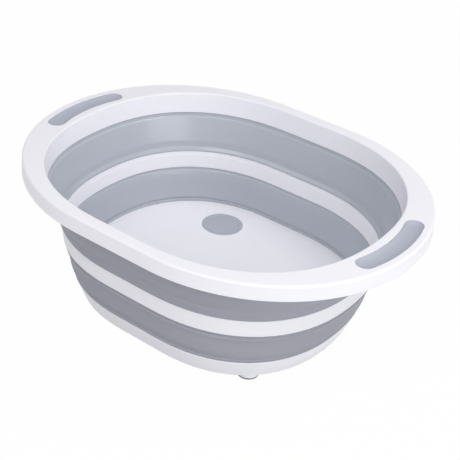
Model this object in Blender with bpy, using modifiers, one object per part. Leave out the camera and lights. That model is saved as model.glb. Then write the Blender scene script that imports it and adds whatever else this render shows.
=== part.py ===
"""Collapsible camp washbasin.

A stiff rim, a middle ring and a base are joined by two soft folding walls. The rim carries a grip
pad at each end, the base a drain plug and four feet. Lengths are in metres, +Z is up, and the
origin is on the ground under the basin's centre.
"""

import math

import bmesh
import bpy

# Heights, from the ground up
FOOT_DROP = 0.0062
BASE_WALL_HEIGHT = 0.0213
FLOOR_RISE = 0.0011
LOWER_FOLD_HEIGHT = 0.0395
RING_HEIGHT = 0.0186
UPPER_FOLD_HEIGHT = 0.0417
RIM_WALL_HEIGHT = 0.0227

BASE_BOTTOM = FOOT_DROP
BASE_TOP = BASE_BOTTOM + BASE_WALL_HEIGHT
FLOOR_TOP = BASE_TOP + FLOOR_RISE
RING_BOTTOM = BASE_TOP + LOWER_FOLD_HEIGHT
RING_TOP = RING_BOTTOM + RING_HEIGHT
WALL_FOOT = RING_TOP + UPPER_FOLD_HEIGHT
RIM_TOP = WALL_FOOT + RIM_WALL_HEIGHT

# Plan of the tub's inner surface at each level, and the rim's flange round it
MOUTH_HALF_LENGTH = 0.1763
MOUTH_HALF_WIDTH = 0.1503
RIM_WALL_DRAFT = 0.0020
RING_HALF_LENGTH = 0.1590
RING_HALF_WIDTH = 0.1340
RING_DRAFT = 0.0021
FLOOR_HALF_LENGTH = 0.1443
FLOOR_HALF_WIDTH = 0.1213
TUB_STRAIGHT = 0.0230
TUB_ROUND_SHARE = 0.881
END_FLANGE = 0.0347
SIDE_FLANGE = 0.0131
RIM_HALF_LENGTH = MOUTH_HALF_LENGTH + END_FLANGE
RIM_HALF_WIDTH = MOUTH_HALF_WIDTH + SIDE_FLANGE
RIM_STRAIGHT = 0.0420
RIM_ROUND_SHARE = 0.990

# Fits between pieces
GAP = 0.0003
OVERRUN = 0.0020
TONGUE_INSET = 0.0013
TONGUE_WALL = 0.0009
TONGUE_HEIGHT = 0.0036

# Rim
RIM_WALL = TONGUE_INSET + TONGUE_WALL
RIM_FLANGE = 0.0026
RIM_SKIRT_WALL = 0.0022
RIM_SKIRT_HEIGHT = 0.0157
RIM_SKIRT_DRAFT = 0.0006
RIM_EDGE_RADIUS = 0.0032
RIM_MOUTH_RADIUS = 0.0016
RIM_ROOT_RADIUS = 0.0012
RIM_LIP_RADIUS = 0.0008
RIM_RIB_WALL = 0.0016
RIM_RIB_DEPTH = 0.0080
RIM_RIB_SHARES = (0.34, 0.58, 0.82, 1.0)

# Grip pads in the rim's ends
GRIP_INSET = 0.0165
GRIP_HALF_WIDTH = 0.0091
GRIP_HALF_LENGTH = 0.0519
GRIP_RECESS = 0.0014
GRIP_EDGE_RISE = 0.0002
GRIP_CROWN = 0.0010
GRIP_SPAN_STEPS = 12
GRIP_END_STEPS = 6
GRIP_CROWN_SHARES = (0.0, 0.35, 0.70, 0.92)

# Middle ring
RING_WALL = 0.0029
RING_BEAD = 0.0004
RING_BEAD_HEIGHT = 0.0014
RING_EDGE_RADIUS = 0.0005

# Soft folding walls
FOLD_WALL = 0.0016
FOLD_DEPTH = 0.0016
COLLAR_SKIN = 0.0007
COLLAR_RECESS = 0.0004
COLLAR_FOOT_RECESS = 0.0003
COLLAR_HEIGHT = 0.0050
COLLAR_TAPER = 0.0012
UPPER_RECESS_HEIGHT = 0.0036
LOWER_RECESS_HEIGHT = 0.0026
FOOT_BAND_HEIGHT = 0.0030
COLLAR_OUTER = TONGUE_INSET + TONGUE_WALL + GAP + COLLAR_SKIN
# Each row: how far down the fold, as a share of its height, then how far out, as a share of its depth
UPPER_FOLD_SHARES = (
    (0.125, -0.30), (0.32, 0.25), (0.52, 0.60), (0.68, 0.70), (0.755, 1.00),
    (0.805, 0.90), (0.838, -0.10), (0.862, -0.55), (0.905, -0.30),
)
LOWER_FOLD_SHARES = (
    (0.110, -0.25), (0.30, 0.35), (0.50, 0.65), (0.70, 0.45), (0.80, 0.05), (0.88, -0.25),
)

# Base
BASE_LIP_OUT = 0.0038
BASE_LIP_HEIGHT = 0.0020
BASE_LIP_STEP = 0.0004
BASE_WALL = 0.0022
BASE_WALL_TAPER = 0.0074
BASE_EDGE_RADIUS = 0.0016
BASE_LIP_RADIUS = 0.0005
FLOOR_PLATE = 0.0026
FLOOR_MARGIN = 0.0040
BASE_RIB_WALL = 0.0016
BASE_RIB_DEPTH = 0.0045

# Drain and plug
DRAIN_X = -0.0540
DRAIN_INSET = 0.0446
DRAIN_Y = FLOOR_HALF_WIDTH - DRAIN_INSET
DRAIN_RADIUS = 0.0225
DRAIN_RECESS = 0.0020
DRAIN_HOLE_RADIUS = 0.0165
DRAIN_BOSS_WALL = 0.0025
DRAIN_BOSS_DEPTH = 0.0040
PLUG_LIP_RISE = 0.0008
PLUG_LIP_WALL = 0.0014
PLUG_DISH = 0.0010
PLUG_NIB_RADIUS = 0.0034
PLUG_NIB_RISE = 0.0003
PLUG_STEM_DEPTH = 0.0090
PLUG_STEM_WALL = 0.0018
PLUG_STEM_LEAD = 0.0010
PLUG_STEPS = 28

# Feet
FOOT_END_INSET = 0.0433
FOOT_SIDE_INSET = 0.0458
FOOT_X = FLOOR_HALF_LENGTH - FOOT_END_INSET
FOOT_Y = FLOOR_HALF_WIDTH - FOOT_SIDE_INSET
FOOT_RADIUS = 0.0107
FOOT_TOP_RADIUS = 0.0125
FOOT_PAD_RADIUS = 0.0105
FOOT_PAD_THICKNESS = 0.0014
FOOT_PAD_ROUND = 0.0004
FOOT_SPIGOT_RADIUS = 0.0038
FOOT_SPIGOT_HEIGHT = 0.0045
FOOT_STEPS = 20

ARC_STEPS = 11
ROUND_STEPS = 2
EDGE_STEPS = 3
SMOOTH_ANGLE = math.radians(35)

WHITE = (0.83, 0.84, 0.88, 1.0)
GREY = (0.36, 0.39, 0.45, 1.0)
PAD_GREY = (0.42, 0.46, 0.52, 1.0)
FOOT_GREY = (0.12, 0.12, 0.14, 1.0)


def clear_scene():
    """Removes whatever objects the file opened with."""
    for item in list(bpy.data.objects):
        bpy.data.objects.remove(item, do_unlink=True)


def collection(name):
    """A new collection in the scene."""
    group = bpy.data.collections.new(name)
    bpy.context.scene.collection.children.link(group)
    return group


def material(name, colour, roughness):
    """A plain Principled material."""
    made = bpy.data.materials.new(name)
    made.use_nodes = True
    shader = made.node_tree.nodes["Principled BSDF"]
    shader.inputs["Base Color"].default_value = colour
    shader.inputs["Roughness"].default_value = roughness
    shader.inputs["Metallic"].default_value = 0.0
    return made


def oval(half_length, half_width, straight, round_share, offset):
    """Plan points anticlockwise, moved out by an offset: four quarters and two straight sides.

    A quarter is an ellipse's where the share is 1, and fuller where it is less.
    """
    end = half_length - straight
    slope = 2 - round_share
    quarter = []
    for step in range(ARC_STEPS + 1):
        angle = math.pi / 2 * step / ARC_STEPS
        across = max(math.cos(angle), 0.0)
        along = math.sin(angle)
        out_x = across**slope / end
        out_y = along**slope / half_width
        size = math.hypot(out_x, out_y)
        x = straight + end * across**round_share + offset * out_x / size
        y = half_width * along**round_share + offset * out_y / size
        quarter.append((x, y))
    points = list(quarter)
    points += [(-x, y) for x, y in reversed(quarter)]
    points += [(-x, -y) for x, y in quarter[1:]]
    points += [(x, -y) for x, y in reversed(quarter[1:])]
    return points


def between(low, high, share):
    """The value a share of the way from low to high."""
    return low + (high - low) * share


def tub_half_sizes(height):
    """Half length and half width of the tub's inner surface at a height."""
    levels = (
        (FLOOR_TOP, FLOOR_HALF_LENGTH, FLOOR_HALF_WIDTH),
        (RING_BOTTOM, RING_HALF_LENGTH - RING_DRAFT, RING_HALF_WIDTH - RING_DRAFT),
        (RING_TOP, RING_HALF_LENGTH, RING_HALF_WIDTH),
        (WALL_FOOT, MOUTH_HALF_LENGTH - RIM_WALL_DRAFT, MOUTH_HALF_WIDTH - RIM_WALL_DRAFT),
        (RIM_TOP, MOUTH_HALF_LENGTH, MOUTH_HALF_WIDTH),
    )
    if height <= FLOOR_TOP:
        return FLOOR_HALF_LENGTH, FLOOR_HALF_WIDTH
    for lower, upper in zip(levels, levels[1:]):
        if height <= upper[0]:
            share = (height - lower[0]) / (upper[0] - lower[0])
            return between(lower[1], upper[1], share), between(lower[2], upper[2], share)
    return MOUTH_HALF_LENGTH, MOUTH_HALF_WIDTH


def tub_loop(out, height):
    """A level loop of points, out from the tub's inner surface."""
    half_length, half_width = tub_half_sizes(height)
    plan = oval(half_length, half_width, TUB_STRAIGHT, TUB_ROUND_SHARE, out)
    return [(x, y, height) for x, y in plan]


def rim_loop(out, height):
    """A level loop of points, out from the rim's outer edge."""
    plan = oval(RIM_HALF_LENGTH, RIM_HALF_WIDTH, RIM_STRAIGHT, RIM_ROUND_SHARE, out)
    return [(x, y, height) for x, y in plan]


def rounded(corners, steps=ROUND_STEPS):
    """An open outline of (out, height) points, with an arc where a corner states a radius."""
    points = [corners[0][:2]]
    for before, corner, after in zip(corners, corners[1:], corners[2:]):
        out, height, radius = corner
        if not radius:
            points.append((out, height))
            continue
        back = (before[0] - out, before[1] - height)
        ahead = (after[0] - out, after[1] - height)
        back_size = math.hypot(*back)
        ahead_size = math.hypot(*ahead)
        back = (back[0] / back_size, back[1] / back_size)
        ahead = (ahead[0] / ahead_size, ahead[1] / ahead_size)
        half = math.acos(max(-1.0, min(1.0, back[0] * ahead[0] + back[1] * ahead[1]))) / 2
        reach = min(radius / math.tan(half), min(back_size, ahead_size) / 2)
        radius = reach * math.tan(half)
        middle = (back[0] + ahead[0], back[1] + ahead[1])
        size = math.hypot(*middle)
        centre_out = out + middle[0] / size * radius / math.sin(half)
        centre_height = height + middle[1] / size * radius / math.sin(half)
        start = math.atan2(height + back[1] * reach - centre_height, out + back[0] * reach - centre_out)
        finish = math.atan2(height + ahead[1] * reach - centre_height, out + ahead[0] * reach - centre_out)
        turn = (finish - start + math.pi) % (2 * math.pi) - math.pi
        for step in range(steps + 1):
            angle = start + turn * step / steps
            points.append((centre_out + radius * math.cos(angle), centre_height + radius * math.sin(angle)))
    points.append(corners[-1][:2])
    return points


def finish_mesh(name, shape, group, skin):
    """Turns a bmesh into a smooth-shaded object with outward faces."""
    bmesh.ops.recalc_face_normals(shape, faces=shape.faces)
    mesh = bpy.data.meshes.new(name)
    shape.to_mesh(mesh)
    shape.free()
    mesh.shade_smooth()
    mesh.set_sharp_from_angle(angle=SMOOTH_ANGLE)
    made = bpy.data.objects.new(name, mesh)
    group.objects.link(made)
    if skin:
        mesh.materials.append(skin)
    return made


def loft(name, loops, closed, group, skin):
    """A solid through level loops: closed joins the last loop to the first, else both ends are capped."""
    shape = bmesh.new()
    rows = [[shape.verts.new(point) for point in loop] for loop in loops]
    pairs = list(zip(rows, rows[1:]))
    if closed:
        pairs.append((rows[-1], rows[0]))
    else:
        shape.faces.new(rows[0])
        shape.faces.new(rows[-1])
    for one, other in pairs:
        for index in range(len(one)):
            following = (index + 1) % len(one)
            shape.faces.new((one[index], one[following], other[following], other[index]))
    return finish_mesh(name, shape, group, skin)


def turned(name, profile, steps, centre, group, skin):
    """A turned solid: the profile runs from the axis on top, down the outer side, back to the axis."""
    mesh = bpy.data.meshes.new(name)
    edges = [(index, index + 1) for index in range(len(profile) - 1)]
    mesh.from_pydata([(radius, 0.0, height) for radius, height in profile], edges, [])
    made = bpy.data.objects.new(name, mesh)
    made.location = centre
    group.objects.link(made)
    if skin:
        mesh.materials.append(skin)
    screw = made.modifiers.new("turn", "SCREW")
    screw.axis = "Z"
    screw.angle = 2 * math.pi
    screw.steps = steps
    screw.render_steps = steps
    screw.use_merge_vertices = True
    screw.merge_threshold = GAP / 10
    screw.use_smooth_shade = True
    return made


def as_cutter(item):
    """Keeps a helper solid out of renders and draws it as wire."""
    item.hide_render = True
    item.display_type = "WIRE"
    return item


def combine(target, helper, operation):
    """Adds a helper solid to the target or cuts it away."""
    step = target.modifiers.new(helper.name, "BOOLEAN")
    step.operation = operation
    step.solver = "EXACT"
    step.object = as_cutter(helper)


def plate(shape, start, finish, wall, low, high):
    """Adds an upright plate between two plan points to a bmesh."""
    run = (finish[0] - start[0], finish[1] - start[1])
    size = math.hypot(*run)
    side = (-run[1] / size * wall / 2, run[0] / size * wall / 2)
    made = bmesh.ops.create_cube(shape, size=1.0)["verts"]
    for vertex in made:
        along = vertex.co.x + 0.5
        across = 2 * vertex.co.y
        x = start[0] + run[0] * along + side[0] * across
        y = start[1] + run[1] * along + side[1] * across
        vertex.co = (x, y, between(low, high, vertex.co.z + 0.5))


def middle_of(one, other):
    """The plan point halfway between two points."""
    return (one[0] + other[0]) / 2, (one[1] + other[1]) / 2


def rim_outline():
    """The rim's section as loops: the tub wall with its tongue, the flange, and the outer skirt."""
    under = RIM_TOP - RIM_FLANGE
    skirt_foot = RIM_TOP - RIM_SKIRT_HEIGHT
    wall = rounded((
        (RIM_WALL + 2 * RIM_ROOT_RADIUS, under, 0.0),
        (RIM_WALL, under, RIM_ROOT_RADIUS),
        (RIM_WALL, WALL_FOOT, 0.0),
        (RIM_WALL, WALL_FOOT - TONGUE_HEIGHT, 0.0),
        (TONGUE_INSET, WALL_FOOT - TONGUE_HEIGHT, 0.0),
        (TONGUE_INSET, WALL_FOOT, 0.0),
        (0.0, WALL_FOOT, 0.0),
        (0.0, RIM_TOP, RIM_MOUTH_RADIUS),
        (2 * RIM_MOUTH_RADIUS, RIM_TOP, 0.0),
    ))
    edge = rounded((
        (-2 * RIM_EDGE_RADIUS, RIM_TOP, 0.0),
        (0.0, RIM_TOP, RIM_EDGE_RADIUS),
        (RIM_SKIRT_DRAFT, skirt_foot, 0.0),
    ), EDGE_STEPS)
    skirt = rounded((
        (0.0, RIM_TOP, 0.0),
        (RIM_SKIRT_DRAFT, skirt_foot, RIM_LIP_RADIUS),
        (RIM_SKIRT_DRAFT - RIM_SKIRT_WALL, skirt_foot, RIM_LIP_RADIUS),
        (-RIM_SKIRT_WALL, under, RIM_ROOT_RADIUS),
        (-RIM_SKIRT_WALL - 2 * RIM_ROOT_RADIUS, under, 0.0),
    ))
    loops = [tub_loop(out, height) for out, height in wall[1:-1]]
    return loops + [rim_loop(out, height) for out, height in edge[1:-1] + skirt[1:-1]]


def rim_ribs(cutters):
    """Short stiffening ribs under the flange, between the tub wall and the skirt, clear of the grips."""
    shape = bmesh.new()
    inner = tub_loop(RIM_WALL / 2, RIM_TOP)
    outer = rim_loop(-RIM_SKIRT_WALL / 2, RIM_TOP)
    for share in RIM_RIB_SHARES:
        place = round(share * (ARC_STEPS - 1))
        start = middle_of(inner[place], inner[place + 1])
        finish = middle_of(outer[place], outer[place + 1])
        for side, end in ((1, 1), (-1, 1), (1, -1), (-1, -1)):
            foot = (end * start[0], side * start[1])
            head = (end * finish[0], side * finish[1])
            plate(shape, foot, head, RIM_RIB_WALL, RIM_TOP - RIM_RIB_DEPTH, RIM_TOP - RIM_FLANGE / 2)
    return finish_mesh("rim_rib_helper", shape, cutters, None)


def grip_spine(side):
    """The curved middle line of a grip, with its outward directions, from front to rear."""
    plan = oval(RIM_HALF_LENGTH, RIM_HALF_WIDTH, RIM_STRAIGHT, RIM_ROUND_SHARE, -GRIP_INSET)
    end = [plan[index] for index in range(-ARC_STEPS, ARC_STEPS + 1)]
    reach = GRIP_HALF_LENGTH - GRIP_HALF_WIDTH
    spine = []
    for step in range(GRIP_SPAN_STEPS + 1):
        y = between(-reach, reach, step / GRIP_SPAN_STEPS)
        for one, other in zip(end, end[1:]):
            if one[1] <= y <= other[1]:
                share = (y - one[1]) / (other[1] - one[1])
                spine.append((side * between(one[0], other[0], share), y))
                break
    return spine


def grip_loop(side, reach, height):
    """A loop round a grip's spine at a distance, with half-round ends."""
    spine = grip_spine(side)
    outer = []
    inner = []
    for index, point in enumerate(spine):
        before = spine[max(index - 1, 0)]
        after = spine[min(index + 1, len(spine) - 1)]
        size = math.hypot(after[0] - before[0], after[1] - before[1])
        out = ((after[1] - before[1]) / size, (before[0] - after[0]) / size)
        outer.append((point[0] + out[0] * reach, point[1] + out[1] * reach))
        inner.append((point[0] - out[0] * reach, point[1] - out[1] * reach))
    rear = half_round(spine[-1], outer[-1])
    front = half_round(spine[0], inner[0])
    plan = outer + rear + inner[::-1] + front
    return [(x, y, height) for x, y in plan]


def half_round(centre, start):
    """Points round a half circle anticlockwise from a start point, without its two ends."""
    radius = math.hypot(start[0] - centre[0], start[1] - centre[1])
    first = math.atan2(start[1] - centre[1], start[0] - centre[0])
    points = []
    for step in range(1, GRIP_END_STEPS):
        angle = first + math.pi * step / GRIP_END_STEPS
        points.append((centre[0] + radius * math.cos(angle), centre[1] + radius * math.sin(angle)))
    return points


def build_grips(rim, group, cutters, skin):
    """The two grip pads: each fills a recess in the rim's end and stands up in a soft crown."""
    recess_floor = RIM_TOP - GRIP_RECESS
    pads = []
    for name, side in (("grip_pad_left", -1), ("grip_pad_right", 1)):
        edge = GRIP_HALF_WIDTH - GAP
        edge_top = RIM_TOP + GRIP_EDGE_RISE
        loops = [grip_loop(side, edge, recess_floor + GAP)]
        for share in GRIP_CROWN_SHARES[:-1]:
            angle = math.pi / 2 * share
            rise = (GRIP_CROWN - GRIP_EDGE_RISE) * math.sin(angle)
            loops.append(grip_loop(side, edge * math.cos(angle), edge_top + rise))
        pads.append(loft(name, loops, False, group, skin))
        cut = [grip_loop(side, GRIP_HALF_WIDTH, height) for height in (recess_floor, RIM_TOP + OVERRUN)]
        combine(rim, loft(name + "_recess", cut, False, cutters, None), "DIFFERENCE")
    return pads


def build_rim(group, cutters, skin):
    """The stiff rim: tub wall, wide flange and hollow outer skirt, ribbed underneath."""
    rim = loft("rim", rim_outline(), True, group, skin)
    combine(rim, rim_ribs(cutters), "UNION")
    return rim


def fold_section(top, bottom, recess_height, shares):
    """A folding wall's closed section, with a groove at each end that takes its neighbour's tongue."""
    upper = top - GAP
    lower = bottom + GAP
    groove_in = TONGUE_INSET - GAP
    groove_out = TONGUE_INSET + TONGUE_WALL + GAP
    groove_top = top - TONGUE_HEIGHT - GAP
    groove_foot = bottom + TONGUE_HEIGHT + GAP
    inside = [(out * FOLD_DEPTH, between(top, bottom, share)) for share, out in shares]
    section = [(COLLAR_RECESS, upper), (COLLAR_RECESS, top - recess_height)]
    section += inside
    section += [(COLLAR_FOOT_RECESS, bottom + FOOT_BAND_HEIGHT), (COLLAR_FOOT_RECESS, lower)]
    section += [(groove_in, lower), (groove_in, groove_foot), (groove_out, groove_foot), (groove_out, lower)]
    section += [(COLLAR_OUTER, lower), (COLLAR_OUTER, bottom + COLLAR_HEIGHT)]
    for out, height in reversed(inside):
        if bottom + COLLAR_HEIGHT + COLLAR_TAPER < height < top - COLLAR_HEIGHT - COLLAR_TAPER:
            section.append((out + FOLD_WALL, height))
    section += [(COLLAR_OUTER, top - COLLAR_HEIGHT), (COLLAR_OUTER, upper)]
    section += [(groove_out, upper), (groove_out, groove_top), (groove_in, groove_top), (groove_in, upper)]
    return section


def build_bellows(group, skin):
    """The two soft walls, each gripping the tongues of the stiff rings above and below it."""
    upper = fold_section(WALL_FOOT, RING_TOP, UPPER_RECESS_HEIGHT, UPPER_FOLD_SHARES)
    lower = fold_section(RING_BOTTOM, FLOOR_TOP, LOWER_RECESS_HEIGHT, LOWER_FOLD_SHARES)
    for name, section in (("upper_bellows", upper), ("lower_bellows", lower)):
        loft(name, [tub_loop(out, height) for out, height in section], True, group, skin)


def build_ring(group, skin):
    """The stiff middle ring: a drafted band with a bead inside and a tongue on each edge."""
    tongue_outer = TONGUE_INSET + TONGUE_WALL
    section = rounded((
        (TONGUE_INSET, RING_TOP + TONGUE_HEIGHT, 0.0),
        (TONGUE_INSET, RING_TOP, 0.0),
        (-RING_BEAD, RING_TOP, RING_EDGE_RADIUS),
        (-RING_BEAD, RING_TOP - RING_BEAD_HEIGHT, 0.0),
        (0.0, RING_TOP - 2 * RING_BEAD_HEIGHT, 0.0),
        (0.0, RING_BOTTOM, 0.0),
        (TONGUE_INSET, RING_BOTTOM, 0.0),
        (TONGUE_INSET, RING_BOTTOM - TONGUE_HEIGHT, 0.0),
        (tongue_outer, RING_BOTTOM - TONGUE_HEIGHT, 0.0),
        (tongue_outer, RING_BOTTOM, 0.0),
        (RING_WALL, RING_BOTTOM, 0.0),
        (RING_WALL, RING_TOP, 0.0),
        (tongue_outer, RING_TOP, 0.0),
        (tongue_outer, RING_TOP + TONGUE_HEIGHT, 0.0),
    ))
    loft("middle_ring", [tub_loop(out, height) for out, height in section], True, group, skin)


def base_section():
    """The base's section, from the floor's middle out, down the wall and back under the floor."""
    tongue_outer = TONGUE_INSET + TONGUE_WALL
    step_height = BASE_TOP - BASE_LIP_HEIGHT
    wall_top = BASE_LIP_OUT - BASE_LIP_STEP
    wall_foot = wall_top - BASE_WALL_TAPER
    under = FLOOR_TOP - FLOOR_PLATE
    inner_top = tongue_outer - BASE_WALL
    return rounded((
        (-FLOOR_MARGIN, FLOOR_TOP, 0.0),
        (TONGUE_INSET, FLOOR_TOP, 0.0),
        (TONGUE_INSET, FLOOR_TOP + TONGUE_HEIGHT, 0.0),
        (tongue_outer, FLOOR_TOP + TONGUE_HEIGHT, 0.0),
        (tongue_outer, BASE_TOP, 0.0),
        (BASE_LIP_OUT, BASE_TOP, BASE_LIP_RADIUS),
        (BASE_LIP_OUT, step_height, 0.0),
        (wall_top, step_height, 0.0),
        (wall_foot, BASE_BOTTOM, BASE_EDGE_RADIUS),
        (wall_foot - BASE_WALL, BASE_BOTTOM, 0.0),
        (inner_top, under, 0.0),
        (-FLOOR_MARGIN, under, 0.0),
    ))


def upright(name, radius_low, radius_high, low, high, centre, steps, cutters):
    """A round helper post or drill, upright at a plan point."""
    bpy.ops.mesh.primitive_cone_add(
        vertices=steps, radius1=radius_low, radius2=radius_high, depth=high - low,
        location=(centre[0], centre[1], (low + high) / 2),
    )
    made = bpy.context.object
    made.name = name
    for owner in list(made.users_collection):
        owner.objects.unlink(made)
    cutters.objects.link(made)
    return made


def foot_places():
    """Plan places of the four feet, by name."""
    return {
        "front_left": (-FOOT_X, -FOOT_Y),
        "front_right": (FOOT_X, -FOOT_Y),
        "rear_left": (-FOOT_X, FOOT_Y),
        "rear_right": (FOOT_X, FOOT_Y),
    }


def base_ribs(cutters):
    """Four ribs under the floor that tie the foot posts together."""
    shape = bmesh.new()
    low = FLOOR_TOP - FLOOR_PLATE - BASE_RIB_DEPTH
    high = FLOOR_TOP - FLOOR_PLATE / 2
    for side in (-1, 1):
        plate(shape, (-FOOT_X, side * FOOT_Y), (FOOT_X, side * FOOT_Y), BASE_RIB_WALL, low, high)
    long_ribs = finish_mesh("base_long_rib_helper", shape, cutters, None)
    shape = bmesh.new()
    for side in (-1, 1):
        plate(shape, (side * FOOT_X, -FOOT_Y), (side * FOOT_X, FOOT_Y), BASE_RIB_WALL, low, high)
    return long_ribs, finish_mesh("base_cross_rib_helper", shape, cutters, None)


def on_drain(name, radius, low, high, cutters):
    """A round helper on the drain's axis."""
    return upright(name, radius, radius, low, high, (DRAIN_X, DRAIN_Y), PLUG_STEPS, cutters)


def add_drain(base, in_plate, cutters):
    """Thickens the floor round the drain, then cuts the plug's recess and the hole."""
    seat_low = FLOOR_TOP - FLOOR_PLATE - DRAIN_RECESS
    boss_low = seat_low - DRAIN_BOSS_DEPTH
    above = FLOOR_TOP + OVERRUN
    seat = on_drain("drain_seat_helper", DRAIN_RADIUS + DRAIN_BOSS_WALL, seat_low, in_plate, cutters)
    boss = on_drain("drain_boss_helper", DRAIN_HOLE_RADIUS + DRAIN_BOSS_WALL, boss_low, in_plate, cutters)
    recess = on_drain("drain_recess", DRAIN_RADIUS, FLOOR_TOP - DRAIN_RECESS, above, cutters)
    hole = on_drain("drain_hole", DRAIN_HOLE_RADIUS, boss_low - OVERRUN, above, cutters)
    combine(base, seat, "UNION")
    combine(base, boss, "UNION")
    combine(base, recess, "DIFFERENCE")
    combine(base, hole, "DIFFERENCE")


def add_feet(base, in_plate, cutters):
    """Adds the four foot posts, each with a socket for its pad's spigot."""
    low = FOOT_PAD_THICKNESS + GAP
    socket_radius = FOOT_SPIGOT_RADIUS + GAP
    socket_top = FOOT_PAD_THICKNESS + FOOT_SPIGOT_HEIGHT + GAP
    socket_steps = FOOT_STEPS // 2
    posts = []
    sockets = []
    for name, place in foot_places().items():
        post = "foot_post_" + name
        posts.append(upright(post, FOOT_RADIUS, FOOT_TOP_RADIUS, low, in_plate, place, FOOT_STEPS, cutters))
        socket = "foot_socket_" + name
        start = low - OVERRUN
        sockets.append(
            upright(socket, socket_radius, socket_radius, start, socket_top, place, socket_steps, cutters)
        )
    for post in posts:
        combine(base, post, "UNION")
    for socket in sockets:
        combine(base, socket, "DIFFERENCE")


def build_base(group, cutters, skin):
    """The base: floor, tapered wall, ribs, four foot posts and the drain's seat."""
    loops = [tub_loop(out, height) for out, height in base_section()]
    base = loft("base", loops, False, group, skin)
    in_plate = FLOOR_TOP - FLOOR_PLATE / 2
    for helper in base_ribs(cutters):
        combine(base, helper, "UNION")
    add_drain(base, in_plate, cutters)
    add_feet(base, in_plate, cutters)
    return base


def build_plug(group, skin):
    """The drain plug: a dished disc with a raised lip and a centre nib, on a short hollow stem."""
    radius = DRAIN_RADIUS - GAP
    lip_top = FLOOR_TOP + PLUG_LIP_RISE
    dish = lip_top - PLUG_DISH
    seat = FLOOR_TOP - DRAIN_RECESS + GAP
    stem = DRAIN_HOLE_RADIUS - GAP
    stem_foot = seat - PLUG_STEM_DEPTH
    bore = stem - PLUG_STEM_WALL
    profile = [(0.0, dish + PLUG_NIB_RISE), (PLUG_NIB_RADIUS - PLUG_NIB_RISE, dish + PLUG_NIB_RISE)]
    profile += [(PLUG_NIB_RADIUS, dish)]
    profile += rounded((
        (radius / 2, dish, 0.0),
        (radius - 2 * PLUG_LIP_WALL, dish, PLUG_LIP_WALL),
        (radius - PLUG_LIP_WALL, lip_top, PLUG_LIP_WALL / 2),
        (radius, lip_top, PLUG_LIP_RISE),
        (radius, seat, 0.0),
        (stem, seat, 0.0),
        (stem, stem_foot + PLUG_STEM_LEAD, 0.0),
        (stem - PLUG_STEM_LEAD, stem_foot, 0.0),
        (bore, stem_foot, 0.0),
        (bore, seat - GAP, PLUG_STEM_WALL),
        (0.0, seat - GAP, 0.0),
    ))
    centre = (DRAIN_X, DRAIN_Y, 0.0)
    return turned("drain_plug", profile, PLUG_STEPS, centre, group, skin)


def build_foot_pads(group, skin):
    """A thin pad under each foot post, held by a spigot in the post's socket."""
    spigot_top = FOOT_PAD_THICKNESS + FOOT_SPIGOT_HEIGHT
    profile = [
        (0.0, spigot_top),
        (FOOT_SPIGOT_RADIUS, spigot_top),
        (FOOT_SPIGOT_RADIUS, FOOT_PAD_THICKNESS),
        (FOOT_PAD_RADIUS, FOOT_PAD_THICKNESS),
        (FOOT_PAD_RADIUS, FOOT_PAD_ROUND),
        (FOOT_PAD_RADIUS - FOOT_PAD_ROUND, 0.0),
        (0.0, 0.0),
    ]
    for name, place in foot_places().items():
        turned("foot_pad_" + name, profile, FOOT_STEPS, (place[0], place[1], 0.0), group, skin)


def hang(names, parent, level):
    """Puts an empty on the slide's axis at a level and parents pieces to it where they are."""
    carrier = bpy.data.objects.new(parent, None)
    carrier.location = level
    bpy.context.scene.collection.objects.link(carrier)
    bpy.context.view_layer.update()
    for name in names:
        piece = bpy.data.objects[name]
        piece.parent = carrier
        piece.matrix_parent_inverse = carrier.matrix_world.inverted()
    return carrier


def main():
    clear_scene()
    basin = collection("collapsible_washbasin")
    cutters = collection("cutters")
    white = material("white_plastic", WHITE, 0.42)
    grey = material("grey_soft_wall", GREY, 0.38)
    pad_grey = material("grey_grip", PAD_GREY, 0.50)
    foot_grey = material("dark_foot", FOOT_GREY, 0.60)
    rim = build_rim(basin, cutters, white)
    build_grips(rim, basin, cutters, pad_grey)
    build_bellows(basin, grey)
    build_ring(basin, white)
    build_base(basin, cutters, white)
    build_plug(basin, pad_grey)
    build_foot_pads(basin, foot_grey)
    rim_carrier = hang(("rim", "grip_pad_left", "grip_pad_right"), "rim_slide", (0.0, 0.0, WALL_FOOT))
    ring_carrier = hang(("middle_ring", "upper_bellows"), "ring_slide", (0.0, 0.0, RING_BOTTOM))
    rim_carrier.parent = ring_carrier
    rim_carrier.matrix_parent_inverse = ring_carrier.matrix_world.inverted()
    hang(("drain_plug",), "plug_lift", (DRAIN_X, DRAIN_Y, FLOOR_TOP))


main()
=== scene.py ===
import math

import bmesh
import bpy
from mathutils import Matrix, Vector


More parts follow.
